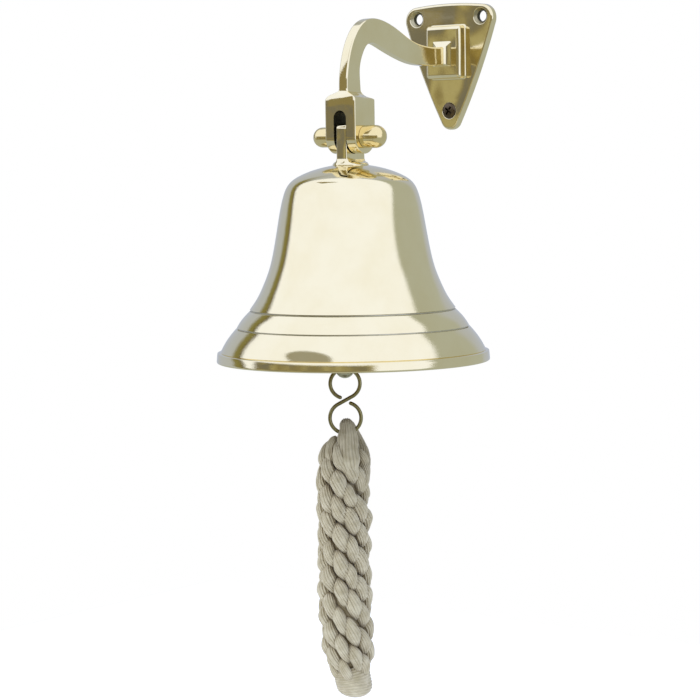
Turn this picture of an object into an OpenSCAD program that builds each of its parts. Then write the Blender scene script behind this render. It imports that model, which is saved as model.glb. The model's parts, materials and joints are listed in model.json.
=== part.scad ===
// Ship's bell on a gooseneck wall bracket, with a clapper, an S-hook and a plaited lanyard.
// Millimetres. +Z is up, X runs along the wall, the wall is the plane y = 0 and the bell hangs at -y.
// The origin lies on the wall, midway between the two upper screw holes.

/* [Wall plate] */
// Width of the shield-shaped plate
plate_w = 62; // [60:0.5:64]
// Height from the upper screw holes to the middle of the top edge
plate_rise = 8.2; // [7.5:0.1:9]
// Height from the top edge to the tip
plate_h = 72.7; // [70:0.1:75]
// Thickness of the plate
plate_t = 4.5; // [4:0.5:6]
// Width of the raised pad behind the arm
pad_w = 24; // [22:0.5:26]
// Height of the raised pad
pad_h = 30; // [26:0.5:31]
// How far the pad stands out from the plate
pad_t = 6.5; // [5.5:0.5:7]
// Distance between the two upper screw holes
hole_spacing = 45; // [43:0.5:46]
// Drop from the upper screw holes to the lower one
hole_drop = 53.5; // [51:0.5:54]
// Diameter of the screw holes
hole_d = 6.2; // [5.8:0.1:6.4]
// Diameter of the countersinks
sink_d = 9.6; // [9.2:0.1:10]

/* [Arm and fork] */
// Distance from the wall to the axis of the bell
reach = 98; // [96:1:104]
// Drop from the upper screw holes to the swing bolt
pin_drop = 68.5; // [66:0.5:71]
// Drop from the upper screw holes to the root of the arm
root_drop = 22.4; // [21:0.1:24]
// Thickness of the arm, along the wall
arm_t = 6; // [5:0.5:7]
// Width of the fork, along the swing bolt
fork_w = 20.8; // [20:0.2:22]
// Depth of the fork, away from the wall
fork_d = 18.4; // [17:0.2:19]
// Width of the slot in the fork
slot_w = 8.6; // [8.2:0.1:9]
// Diameter of the swing bolt
bolt_d = 6; // [5:0.5:6.5]

/* [Bell] */
// Height from the swing bolt to the lip
bell_h = 123; // [121:0.5:125]
// Diameter of the mouth
mouth_d = 151.6; // [150:0.2:153]
// Thickness of the lug that hangs in the fork
lug_t = 7; // [6:0.5:7.5]
// Width of the lug
lug_w = 16.6; // [15:0.2:17]

/* [Clapper] */
// Drop from the swing bolt to the clapper's pin
clapper_drop = 38; // [37:0.5:40]
// How far the clapper's eye has slid along its pin, to the left
clapper_shift = 6.1; // [-6.5:0.1:6.5]
// Diameter of the clapper's ball
ball_d = 25; // [22:0.5:27]
// Drop from the clapper's pin to the centre of its ball
ball_drop = 68; // [64:0.5:70]
// Diameter of the knob at the end of the clapper
knob_d = 10.9; // [10.6:0.1:11.4]

/* [Hook and lanyard] */
// Diameter of the wire of the S-hook
wire_d = 2.1; // [1.9:0.1:2.2]
// Bend radius of the hook's upper loop, at the middle of the wire
upper_loop_r = 8.25; // [8:0.05:8.5]
// Bend radius of the hook's lower loop, at the middle of the wire
lower_loop_r = 8.65; // [8.4:0.05:8.8]
// Angle of the hook's plane from the wall
hook_turn = 38; // [0:1:60]
// Diameter of the plaited lanyard
rope_d = 29; // [26:0.5:31]
// Length of the plait below the hook
rope_len = 146.6; // [120:0.2:180]

/* [Hidden] */
$fn = 64;
EPS = 0.01;
FIT = 0.05;        // radial clearance of a screw in its own thread
PLAY = 0.15;       // radial clearance of a part that turns on a bolt or pin

bevel = 1.2;       // bevel round the front of the plate and of the pad
corner_r = 8;      // upper corners of the plate
tip_r = 6.5;       // tip of the plate
edge_sag = 1.3;    // how far the plate's edges bow outwards
boss_t = 2.5;      // foot of the arm, on the pad
boss_w = 13;
boss_h = 15.5;
boss_low = -28.8;  // underside of the foot
arm_screw_d = 4;
arm_screw_len = 19;
arm_head_d = 8;
screw_d = 4.8;     // shank of the fixing screw
screw_len = 13;
pin_z = -pin_drop;
root_z = -root_drop;
pad_z = root_z + 2.4;      // the pad's middle lies above the arm's root

head_d = 11.1;     // round head of the swing bolt
head_l = 8.6;
nut_d = 12.5;      // cap nut
nut_l = 7;

stud_d = 8;        // threaded stud under the lug
seat_z = -15.5;    // underside of the lug's flange, from the swing bolt
crown_t = 3.5;
flange_r = 10;
washer_t = 1.5;
yoke_t = 2.5;      // strap of the yoke
yoke_gap = 18.6;    // between the yoke's legs
yoke_w = 10;
lock_t = 1.2;
nut_h = 6.5;
nut_af = 13;       // across the flats
pin_d = 4;         // pin that carries the clapper
eye_r = 5.5;       // eye of the clapper's shank
eye_t = 4;
shank_d = 5;
knob_z = -127.8;    // centre of the clapper's knob, from the swing bolt
knob_hole_d = 4.4;
hook_z = -136.2;   // centre of the hook's upper loop, from the swing bolt
loop_gap = 19.2;   // between the centres of the hook's loops
strand_d = 7.2;    // strands of the lanyard's eye
eye_ring_r = 5.3;
rope_clear = 1.6;  // from the middle of the hook's wire to the plait

crown_z = seat_z - crown_t;
wire_z = hook_z - loop_gap - lower_loop_r;   // lowest point of the hook's wire, from the swing bolt
hook_axis_z = hook_z + upper_loop_r - 1;     // the hook turns about the axis of the knob's hole

// Profile of the bell's outside, from the crown to the lip: [radius, height from the swing bolt]
bell_out = [[flange_r, -15.5], [13.5, -16.1], [17.4, -17], [22.5, -18.5], [27.3, -20.5], [31.2, -22.6],
            [34, -25], [35.9, -28], [37.2, -31.5], [38.8, -37.5], [40.5, -47], [42.2, -57], [44.1, -66.5],
            [46, -73.3], [48.7, -80], [51.5, -86.2], [54, -90.2], [56.7, -94]];
// The three bands below the waist, each bowed and parted from the next by a fine groove
band_1 = [[56.9, -95], [59.6, -97.9], [62, -100.7], [64, -103.6]];
band_2 = [[64.6, -104.6], [67.3, -107.6], [69.6, -110.7], [71.6, -113.9], [73.2, -117.2]];
lip = [[74.9, -117.8], [75.4, -118.6], [mouth_d / 2, -bell_h + 0.8], [mouth_d / 2 - 0.6, -bell_h]];
groove = 0.45;     // depth of the fine grooves
bell_in = [[72.2, -bell_h], [70.6, -119.5], [66, -113], [61, -105.6], [56, -98.5], [50.2, -89.5],
           [45.2, -80], [42, -71], [39, -59], [37, -46], [35.2, -36], [33, -30], [29, -25.6], [22, -21.6],
           [14, crown_z - 0.4], [10.5, crown_z]];

// Upper edge of the arm from the wall to the fork, then its lower edge back to the wall:
// [distance from the fork's middle towards the wall, height from the swing bolt]
arm_top = [[reach - plate_t - pad_t, 51], [71, 50.8], [57, 53], [47.5, 57], [36.5, 61.9], [26, 64.8],
           [17, 65.3], [9.5, 63], [3.4, 57.6], [-1, 50.6], [-3.7, 43.5], [-5.4, 37], [-6.1, 30.5], [-6, 22]];
arm_under = [[6.6, 22], [6.6, 28], [5.8, 34], [6.8, 40.5], [9.6, 46.8], [13, 50.8], [16.8, 52], [24, 50.1],
             [36, 46], [48, 42.5], [60, 40.5], [73, 40.2], [reach - plate_t - pad_t, 41]];

// Route of the plait below the hook's wire: [sideways lean, drop]; it hangs straight
rope_route = [[0, 0], [0, 9], [-0.4, 22], [-0.8, 42], [-0.9, 70], [-0.9, 98], [-0.6, 122],
              [0, 136], [0.4, 143], [0.6, rope_len]];
rope_fill = [0.62, 0.84, 0.97, 1, 1, 1, 1, 0.9, 0.7, 0.3];     // share of rope_d at each point
rope_sides = 12;

// Points on an arc round c from angle a0 to a1, in n steps
function arc(c, r, a0, a1, n) =
    [for (i = [0:n]) let (a = a0 + (a1 - a0) * i / n) c + r * [cos(a), sin(a)]];

// Points on a shallow arc between a and b that bows out by sag, without its ends
function bowed(a, b, sag, n) =
    let (d = b - a, out = [-d[1], d[0]] / norm(d))
    [for (i = [1:n - 1]) a + d * i / n + out * sag * 4 * (i / n) * (1 - i / n)];

// Smooth curve through the points p, with n steps between neighbours
function smooth(p, n) =
    let (last = len(p) - 1)
    concat([for (i = [0:last - 1], k = [0:n - 1])
        let (t = k / n, p0 = p[max(i - 1, 0)], p1 = p[i], p2 = p[i + 1], p3 = p[min(i + 2, last)])
        0.5 * (2 * p1 + (p2 - p0) * t + (2 * p0 - 5 * p1 + 4 * p2 - p3) * t * t
               + (3 * p1 - p0 - 3 * p2 + p3) * t * t * t)], [p[last]]);

// Puts children drawn in a plane [towards the wall, up] through the fork upright, t thick along X
module upright(t)
    translate([-t / 2, -reach, pin_z]) rotate([90, 0, 90]) linear_extrude(t) children();

// A cylinder along X through the swing bolt's axis
module along_x(x0, x1, d, up = 0)
    translate([x0, -reach, pin_z + up]) rotate([0, 90, 0]) cylinder(d = d, h = x1 - x0);

// Moves children to the bell's axis, at a height from the swing bolt
module hang(z, x = 0)
    translate([x, -reach, pin_z + z]) children();

// ---- Bracket ----

module plate_outline(inset = 0) {
    top_z = plate_rise - inset;
    c = [plate_w / 2 - corner_r, plate_rise - edge_sag - corner_r];
    tip = [0, plate_rise - plate_h + tip_r];
    right_corner = arc(c, corner_r - inset, 84, -17, 10);
    right_tip = arc(tip, tip_r - inset, -23, -90, 7);
    right = concat(right_corner, bowed(right_corner[10], right_tip[0], edge_sag, 8), right_tip);
    left = [for (i = [len(right) - 2:-1:0]) [-right[i][0], right[i][1]]];
    top = bowed(left[len(left) - 1], right[0], top_z - right[0][1], 12);
    polygon(concat(right, left, top));
}

module plate_layer(y0, y1)
    translate([0, -y0, 0]) rotate([90, 0, 0]) linear_extrude(y1 - y0) children();

// Screw hole with its countersink at the front of the plate
module screw_hole(x, z) {
    sink = (sink_d - hole_d) / 2;
    translate([x, EPS, z]) rotate([90, 0, 0]) cylinder(d = hole_d, h = plate_t + 2 * EPS);
    translate([x, -plate_t + sink, z]) rotate([90, 0, 0]) cylinder(d1 = hole_d, d2 = sink_d, h = sink);
}

module wall_plate() {
    face = plate_t + pad_t;
    head = (arm_head_d - arm_screw_d) / 2;
    color([0.80, 0.66, 0.36]) difference() {
        union() {
            plate_layer(0, plate_t - bevel) plate_outline();
            hull() {
                plate_layer(plate_t - bevel, plate_t - bevel + EPS) plate_outline();
                plate_layer(plate_t - EPS, plate_t) plate_outline(bevel);
            }
            translate([-pad_w / 2, -face + bevel, pad_z - pad_h / 2])
                cube([pad_w, pad_t - bevel + EPS, pad_h]);
            hull() {
                translate([-pad_w / 2, -face + bevel, pad_z - pad_h / 2]) cube([pad_w, EPS, pad_h]);
                translate([-pad_w / 2 + bevel, -face, pad_z - pad_h / 2 + bevel])
                    cube([pad_w - 2 * bevel, EPS, pad_h - 2 * bevel]);
            }
        }
        for (side = [-1, 1]) screw_hole(side * hole_spacing / 2, 0);
        screw_hole(0, -hole_drop);
        translate([0, EPS, root_z]) rotate([90, 0, 0])
            cylinder(d = arm_screw_d + 2 * PLAY, h = face + 2 * EPS);
        translate([0, EPS, root_z]) rotate([90, 0, 0])
            cylinder(d1 = arm_head_d + 2 * PLAY, d2 = arm_screw_d + 2 * PLAY, h = head + EPS);
    }
}

// Countersunk wood screw in the lower hole
module fixing_screw() {
    sink = (sink_d - hole_d) / 2;
    head_r = sink_d / 2 - 0.2;
    drive = 4.6;
    color([0.30, 0.27, 0.20]) difference() {
        translate([0, -plate_t, -hole_drop]) rotate([-90, 0, 0])
            rotate_extrude() polygon([[0, -0.6], [2.2, -0.5], [head_r, 0.15], [screw_d / 2, sink + 0.15],
                                      [screw_d / 2, screw_len - 5], [0, screw_len]]);
        for (turn = [35, 125])
            translate([0, -plate_t + 1, -hole_drop]) rotate([0, turn, 0])
                translate([-drive / 2, -2, -0.45]) cube([drive, 2, 0.9]);
    }
}

// Countersunk machine screw that holds the arm, put in from behind the plate
module arm_screw() {
    head = (arm_head_d - arm_screw_d) / 2;
    slot = 1;
    color([0.62, 0.52, 0.32]) difference() {
        translate([0, 0, root_z]) rotate([90, 0, 0]) union() {
            translate([0, 0, 0.1]) cylinder(d1 = arm_head_d, d2 = arm_screw_d, h = head);
            translate([0, 0, head]) cylinder(d = arm_screw_d, h = arm_screw_len - head);
        }
        translate([-arm_head_d / 2, -0.9, root_z - slot / 2]) cube([arm_head_d, 1, slot]);
    }
}

module bracket_arm() {
    foot = -plate_t - pad_t;
    arch = 14.4 - slot_w / 2;       // centre of the slot's round end, above the bolt
    shoulder = 20;
    color([0.84, 0.72, 0.42]) difference() {
        union() {
            upright(arm_t) polygon(concat(smooth(arm_top, 3), smooth(arm_under, 3)));
            hull() {
                translate([-boss_w / 2, foot - 1, boss_low]) cube([boss_w, 1, boss_h]);
                translate([-arm_t / 2, foot - boss_t, boss_low + 1]) cube([arm_t, EPS, boss_h - 4]);
            }
            translate([-fork_w / 2, -reach - fork_d / 2, pin_z]) cube([fork_w, fork_d, shoulder]);
            along_x(-fork_w / 2, fork_w / 2, fork_d);
            hull() {
                translate([-fork_w / 2, -reach - fork_d / 2, pin_z + shoulder - EPS])
                    cube([fork_w, fork_d, EPS]);
                translate([-fork_w / 2 + 1, -reach - fork_d / 2 + 0.6, pin_z + shoulder])
                    cube([fork_w - 2, fork_d - 1.2, 2.6]);
                translate([-fork_w / 2 + 4, -reach - fork_d / 2 + 1.5, pin_z + shoulder])
                    cube([fork_w - 8, fork_d - 3, 4.6]);
                translate([-arm_t / 2, -reach - 6, pin_z + shoulder]) cube([arm_t, 12.4, 7]);
            }
        }
        translate([-slot_w / 2, -reach - fork_d, pin_z - fork_d]) cube([slot_w, 2 * fork_d, fork_d + arch]);
        translate([0, -reach + fork_d, pin_z + arch]) rotate([90, 0, 0])
            cylinder(d = slot_w, h = 2 * fork_d);
        along_x(-fork_w, fork_w, bolt_d + 2 * FIT);
        translate([0, 0, root_z]) rotate([90, 0, 0])
            cylinder(d = arm_screw_d + 2 * FIT, h = arm_screw_len + 1);
    }
}

// Barrel with a domed end, along X: the bolt's head and the cap nut
module acorn(d, l)
    rotate([0, 90, 0]) rotate_extrude()
        polygon(concat([[0, 0], [d / 2 - 0.4, 0], [d / 2, 0.4]], arc([0, l], d / 2, 0, 90, 12)));

module swing_bolt()
    color([0.82, 0.70, 0.38]) union() {
        translate([-fork_w / 2, -reach, pin_z]) mirror([1, 0, 0]) acorn(head_d, head_l);
        along_x(-fork_w / 2 - EPS, fork_w / 2 + nut_l, bolt_d);
    }

module cap_nut()
    color([0.82, 0.70, 0.38]) difference() {
        translate([fork_w / 2, -reach, pin_z]) acorn(nut_d, nut_l);
        along_x(fork_w / 2 - EPS, fork_w / 2 + nut_l + 0.5, bolt_d + 2 * FIT);
    }

// ---- Bell ----

// The bell's outside with its fine grooves, then its inside back to the crown's hole
module bell_body()
    color([0.86, 0.78, 0.52]) hang(0) rotate_extrude()
        polygon(concat([[stud_d / 2 + FIT, seat_z]], smooth(bell_out, 3),
                       [[56.5, -94.5] + [-groove, 0]], smooth(band_1, 3),
                       [[64.1, -104.1] + [-groove, 0]], smooth(band_2, 3),
                       lip, smooth(bell_in, 3), [[stud_d / 2 + FIT, crown_z]]));

// Lug in the fork, its round flange on the crown and its stud through the crown
module crown_lug() {
    top = 7.2;
    round_r = 2.5;
    color([0.82, 0.70, 0.38]) difference() {
        hang(0) union() {
            translate([-lug_t / 2, -lug_w / 2, seat_z + 1]) cube([lug_t, lug_w, top - seat_z - 1 - round_r]);
            translate([-lug_t / 2, -lug_w / 2 + round_r, top - round_r - EPS])
                cube([lug_t, lug_w - 2 * round_r, round_r + EPS]);
            for (side = [-1, 1])
                translate([-lug_t / 2, side * (lug_w / 2 - round_r), top - round_r])
                    rotate([0, 90, 0]) cylinder(r = round_r, h = lug_t);
            rotate_extrude() polygon([[0, seat_z], [flange_r, seat_z], [flange_r, seat_z + 0.5],
                                      [9.2, seat_z + 1], [8.6, seat_z + 1.8], [0, seat_z + 1.8]]);
            translate([0, 0, -31.2]) cylinder(d = stud_d, h = 31.2 + seat_z + EPS);
        }
        along_x(-lug_t, lug_t, bolt_d + 2 * PLAY);
    }
}

module crown_washer()
    color([0.70, 0.60, 0.36]) hang(crown_z - washer_t) difference() {
        cylinder(r = 9.5, h = washer_t);
        translate([0, 0, -EPS]) cylinder(d = stud_d + 2 * PLAY, h = washer_t + 2 * EPS);
    }

// Bent strap that carries the clapper's pin between its two legs
module clapper_yoke() {
    top = crown_z - washer_t;
    color([0.74, 0.62, 0.36]) difference() {
        hang(0) union() {
            translate([-yoke_gap / 2 - yoke_t, -yoke_w / 2, top - yoke_t])
                cube([yoke_gap + 2 * yoke_t, yoke_w, yoke_t]);
            for (x = [-yoke_gap / 2 - yoke_t, yoke_gap / 2]) {
                translate([x, -yoke_w / 2, -clapper_drop]) cube([yoke_t, yoke_w, clapper_drop + top]);
                translate([x, 0, -clapper_drop]) rotate([0, 90, 0]) cylinder(d = yoke_w, h = yoke_t);
            }
        }
        hang(top - yoke_t - 1) cylinder(d = stud_d + 2 * PLAY, h = yoke_t + 2);
        along_x(-yoke_gap, yoke_gap, pin_d + 2 * FIT, -clapper_drop);
    }
}

// Split spring washer under the nut
module lock_washer()
    color([0.55, 0.55, 0.54]) hang(crown_z - washer_t - yoke_t - lock_t) difference() {
        cylinder(r = 6.6, h = lock_t);
        translate([0, 0, -EPS]) cylinder(d = stud_d + 2 * PLAY, h = lock_t + 2 * EPS);
        rotate([0, 0, 30]) translate([2, -0.5, -EPS]) cube([6, 1, lock_t + 2 * EPS]);
    }

module yoke_nut()
    color([0.72, 0.62, 0.38]) hang(crown_z - washer_t - yoke_t - lock_t - nut_h) difference() {
        rotate([0, 0, 30]) cylinder(r = nut_af / 2 / cos(30), h = nut_h, $fn = 6);
        translate([0, 0, -EPS]) cylinder(d = stud_d + 2 * FIT, h = nut_h + 2 * EPS);
    }

module clapper_pin() {
    side = yoke_gap / 2 + yoke_t;
    color([0.70, 0.58, 0.34]) difference() {
        union() {
            along_x(-side - 1.6, -side, 7, -clapper_drop);
            along_x(-side - EPS, side + 4, pin_d, -clapper_drop);
        }
        translate([side + 2, -reach, pin_z - clapper_drop - pin_d]) cylinder(d = 1.5, h = 2 * pin_d);
    }
}

// Split pin through the end of the clapper's pin
module cotter_pin() {
    wire = 1.2;
    head = 1.6;
    color([0.58, 0.57, 0.55])
        translate([yoke_gap / 2 + yoke_t + 2, -reach, pin_z - clapper_drop]) union() {
            translate([0, 0, -5]) cylinder(d = wire, h = 5 + pin_d / 2 + 0.6);
            translate([0, 0, pin_d / 2 + 0.5 + head]) rotate([0, 90, 0])
                rotate_extrude() translate([head, 0]) circle(d = wire, $fn = 24);
        }
}

// ---- Clapper ----

module clapper_shank() {
    end = -knob_z - knob_d / 2 - clapper_drop + 3;
    color([0.76, 0.64, 0.36]) difference() {
        hang(-clapper_drop, -clapper_shift) union() {
            translate([-eye_t / 2, 0, 0]) rotate([0, 90, 0]) cylinder(r = eye_r, h = eye_t);
            translate([0, 0, -end]) cylinder(d = shank_d, h = end - eye_r + 1);
            translate([0, 0, -eye_r - 1]) cylinder(d1 = shank_d + EPS, d2 = eye_t, h = 2);
        }
        along_x(-yoke_gap, yoke_gap, pin_d + 2 * PLAY, -clapper_drop);
    }
}

module clapper_ball()
    color([0.80, 0.68, 0.40]) hang(-clapper_drop - ball_drop, -clapper_shift) difference() {
        sphere(d = ball_d);
        translate([0, 0, -ball_d]) cylinder(d = shank_d + 2 * FIT, h = 2 * ball_d);
    }

// Round knob on the end of the shank, drilled across for the hook
module clapper_knob() {
    neck_z = 7.5;
    color([0.80, 0.68, 0.40]) hang(knob_z, -clapper_shift) difference() {
        union() {
            sphere(d = knob_d);
            cylinder(d = 7, h = neck_z);
        }
        translate([0, 0, knob_d / 2 - 3]) cylinder(d = shank_d + 2 * FIT, h = neck_z);
        translate([0, 0, hook_axis_z - knob_z]) rotate([0, 0, hook_turn]) rotate([0, 90, 0])
            cylinder(d = knob_hole_d, h = 2 * knob_d, center = true);
    }
}

// ---- Hook ----

// Part of a ring of wire from angle a0, over span degrees, in the plane [sideways, up]
module wire_arc(r, a0, span)
    rotate([90, 0, 0]) rotate([0, 0, a0]) rotate_extrude(angle = span)
        translate([r, 0]) circle(d = wire_d, $fn = 32);

// Two open loops joined by the straight piece that touches both
module s_hook() {
    loop_sum = upper_loop_r + lower_loop_r;
    cross = asin(loop_sum / loop_gap);
    straight = sqrt(loop_gap * loop_gap - loop_sum * loop_sum);
    lap = 0.3;      // the straight piece runs this far into each loop
    color([0.50, 0.42, 0.22]) hang(hook_z, -clapper_shift) rotate([0, 0, hook_turn]) union() {
        wire_arc(upper_loop_r, -cross, 250 + cross);
        translate([0, 0, -loop_gap]) wire_arc(lower_loop_r, 180 - cross, 250 + cross);
        translate([upper_loop_r * cos(cross), 0, -upper_loop_r * sin(cross)]) rotate([0, 180 + cross, 0])
            translate([0, 0, -lap]) cylinder(d = wire_d - 2 * EPS, h = straight + 2 * lap);
    }
}

// ---- Lanyard ----

// Loop of the lanyard round the hook's wire, resting on the plait
module rope_eye()
    color([0.80, 0.77, 0.68]) hang(wire_z, -clapper_shift) rotate([0, 0, hook_turn]) difference() {
        rotate([0, 90, 0]) rotate_extrude() translate([eye_ring_r, 0]) circle(d = strand_d, $fn = 32);
        translate([-rope_d, -rope_d, -rope_clear - rope_d]) cube([2 * rope_d, 2 * rope_d, rope_d]);
    }

// The plait: rings of points along the route, joined into one closed tube
module bell_rope() {
    rings = len(rope_route);
    pts = [for (i = [0:rings - 1], k = [0:rope_sides - 1])
        let (r = rope_d / 2 * rope_fill[i], a = 360 * k / rope_sides)
        [rope_route[i][0] + r * cos(a), r * sin(a), -rope_route[i][1]]];
    walls = [for (i = [0:rings - 2], k = [0:rope_sides - 1])
        let (a = i * rope_sides + k, b = i * rope_sides + (k + 1) % rope_sides)
        [a, b, b + rope_sides, a + rope_sides]];
    top = [[for (k = [rope_sides - 1:-1:0]) k]];
    bottom = [[for (k = [0:rope_sides - 1]) (rings - 1) * rope_sides + k]];
    color([0.86, 0.83, 0.74]) hang(wire_z - rope_clear, -clapper_shift) rotate([0, 0, hook_turn])
        polyhedron(pts, concat(walls, top, bottom));
}

wall_plate();
fixing_screw();
arm_screw();
bracket_arm();
swing_bolt();
cap_nut();
bell_body();
crown_lug();
crown_washer();
clapper_yoke();
lock_washer();
yoke_nut();
clapper_pin();
cotter_pin();
clapper_shank();
clapper_ball();
clapper_knob();
s_hook();
rope_eye();
bell_rope();
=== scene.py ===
import json
import math

import bmesh
import bpy
import numpy as np
from mathutils import Matrix, Vector


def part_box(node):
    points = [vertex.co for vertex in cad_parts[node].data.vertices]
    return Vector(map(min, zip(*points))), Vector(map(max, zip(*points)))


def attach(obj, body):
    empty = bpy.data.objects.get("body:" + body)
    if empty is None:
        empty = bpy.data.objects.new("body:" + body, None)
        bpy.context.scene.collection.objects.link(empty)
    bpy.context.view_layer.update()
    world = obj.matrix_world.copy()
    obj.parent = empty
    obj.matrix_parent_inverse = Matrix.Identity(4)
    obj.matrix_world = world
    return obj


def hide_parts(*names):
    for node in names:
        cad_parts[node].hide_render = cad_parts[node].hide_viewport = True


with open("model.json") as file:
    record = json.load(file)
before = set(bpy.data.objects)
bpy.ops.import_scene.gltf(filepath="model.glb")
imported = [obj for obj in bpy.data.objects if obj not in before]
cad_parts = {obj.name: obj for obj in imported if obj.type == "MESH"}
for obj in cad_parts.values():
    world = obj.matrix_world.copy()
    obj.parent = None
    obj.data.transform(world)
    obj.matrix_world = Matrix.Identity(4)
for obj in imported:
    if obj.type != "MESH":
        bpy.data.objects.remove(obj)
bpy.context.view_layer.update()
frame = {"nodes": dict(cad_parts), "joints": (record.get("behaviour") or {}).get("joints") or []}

MM = 0.001
TAU = 2 * math.pi
joints = {j["name"]: j for j in frame["joints"]}
pin = Vector(joints["bell_swing"]["pos_m"])                    # the swing bolt's axis, on the bell's own axis
clapper_pin = Vector(joints["clapper_swing"]["pos_m"])
hook_axis = Vector(joints["hook_swing"]["axis"]).normalized()  # also the sideways direction of the hook
reach = -pin.y / MM                                            # from the wall to the bell's axis
hang_x = clapper_pin.x                                         # the clapper hangs a little to the left


# ---- Camera ----

VIEW_AZIMUTH = math.radians(38)
VIEW_PITCH = math.radians(4.9)
VIEW_ROLL = math.radians(0.8)
VIEW_DISTANCE = 1.25
VIEW_DROP = 0.0101           # the camera stands this far below the swing bolt
VIEW_SIDE = -0.0018          # and this far to the right of it
FOCAL_MM = 116.7
SENSOR_MM = 36


def make_camera():
    toward = Vector((math.sin(VIEW_AZIMUTH), -math.cos(VIEW_AZIMUTH), 0))
    level = Vector((math.cos(VIEW_AZIMUTH), math.sin(VIEW_AZIMUTH), 0))
    ahead = (-toward * math.cos(VIEW_PITCH) - Vector((0, 0, math.sin(VIEW_PITCH)))).normalized()
    above = level.cross(ahead)
    right = level * math.cos(VIEW_ROLL) - above * math.sin(VIEW_ROLL)
    up = level * math.sin(VIEW_ROLL) + above * math.cos(VIEW_ROLL)
    data = bpy.data.cameras.new("camera")
    data.lens = FOCAL_MM
    data.sensor_width = SENSOR_MM
    data.clip_start = 0.01
    camera = bpy.data.objects.new("camera", data)
    bpy.context.scene.collection.objects.link(camera)
    place = pin + toward * VIEW_DISTANCE + level * VIEW_SIDE - Vector((0, 0, VIEW_DROP))
    axes = Matrix((right, up, -ahead)).transposed()
    camera.matrix_world = Matrix.Translation(place) @ axes.to_4x4()
    bpy.context.scene.camera = camera


# ---- Curves and outlines, in millimetres ----

def smooth(points, steps):
    """Smooth curve through the points, with steps between neighbours."""
    p = np.array(points, float)
    out = []
    for i in range(len(p) - 1):
        a, b, c, d = p[max(i - 1, 0)], p[i], p[i + 1], p[min(i + 2, len(p) - 1)]
        for t in np.arange(steps) / steps:
            out.append(0.5 * (2 * b + (c - a) * t + (2 * a - 5 * b + 4 * c - d) * t * t
                              + (3 * b - a - 3 * c + d) * t ** 3))
    return np.array(out + [p[-1]])


def relaxed(points, passes):
    """The same curve with small kinks ironed out; its ends stay."""
    p = np.array(points, float)
    for _ in range(passes):
        p[1:-1] = 0.5 * p[1:-1] + 0.25 * (p[:-2] + p[2:])
    return p


def arc(cx, cy, r, a0, a1, steps):
    """Points on a circle from angle a0 to a1, in degrees."""
    angles = np.radians(np.linspace(a0, a1, steps + 1))
    return np.stack([cx + r * np.cos(angles), cy + r * np.sin(angles)], 1)


def bowed(a, b, sag, steps):
    """Points between a and b on a shallow arc that bows out by sag, without its ends."""
    a, b = np.array(a, float), np.array(b, float)
    d = b - a
    out = np.array([-d[1], d[0]]) / np.linalg.norm(d)
    t = (np.arange(1, steps) / steps)[:, None]
    return a + d * t + out * sag * 4 * t * (1 - t)


def round_box(half_w, half_h, r, steps=5):
    """Outline of a rectangle with round corners, counter-clockwise from the right."""
    r = min(r, half_w * 0.98, half_h * 0.98)
    corners = [(half_w - r, half_h - r, 0), (r - half_w, half_h - r, 90),
               (r - half_w, r - half_h, 180), (half_w - r, r - half_h, 270)]
    return np.concatenate([arc(cx, cy, r, a, a + 90, steps) for cx, cy, a in corners])


# ---- Meshes ----

def mesh_object(name, vertices, faces, sharp=35):
    mesh = bpy.data.meshes.new(name)
    mesh.from_pydata([tuple(v) for v in vertices], [], faces)
    mesh.validate()
    mesh.update()
    piece = bpy.data.objects.new(name, mesh)
    bpy.context.scene.collection.objects.link(piece)
    shade(piece, sharp)
    return piece


def shade(piece, sharp=35):
    piece.data.shade_smooth()
    piece.data.set_sharp_from_angle(angle=math.radians(sharp))


def skin(name, rings, closed=False, sharp=35):
    """A mesh through rings of points, given in metres. Closed joins the last ring to the first, and else the
    end rings are filled."""
    rings = [np.array(r, float) for r in rings]
    n = len(rings[0])
    vertices = np.concatenate(rings)
    count = len(rings)
    faces = []
    for i in range(count if closed else count - 1):
        a, b = i * n, (i + 1) % count * n
        for k in range(n):
            l = (k + 1) % n
            faces.append((a + k, a + l, b + l, b + k))
    if not closed:
        faces.append(tuple(range(n - 1, -1, -1)))
        faces.append(tuple((count - 1) * n + k for k in range(n)))
    return mesh_object(name, vertices, faces, sharp)


def lathe(name, profile, centre, axis="Z", segments=96, closed=False, sharp=35):
    """Turns a profile of [radius, place along the axis], in millimetres, round an axis through centre."""
    angles = np.arange(segments) * TAU / segments
    cos, sin = np.cos(angles), np.sin(angles)
    rings = []
    for r, h in profile:
        r = max(r, 0.002)
        flat = np.full(segments, float(h))
        if axis == "Z":
            ring = np.stack([r * cos, r * sin, flat], 1)
        elif axis == "X":
            ring = np.stack([flat, r * cos, r * sin], 1)
        else:
            ring = np.stack([r * sin, flat, r * cos], 1)
        rings.append(ring * MM + np.array(centre))
    piece = skin(name, rings, closed, sharp)
    face_outwards(piece)
    return piece


def face_outwards(piece, merge=True):
    """Turns every face outwards; merge first joins the points that lie on each other."""
    bm = bmesh.new()
    bm.from_mesh(piece.data)
    if merge:
        bmesh.ops.remove_doubles(bm, verts=bm.verts, dist=4e-6)
    bmesh.ops.recalc_face_normals(bm, faces=bm.faces)
    bm.to_mesh(piece.data)
    bm.free()


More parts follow.
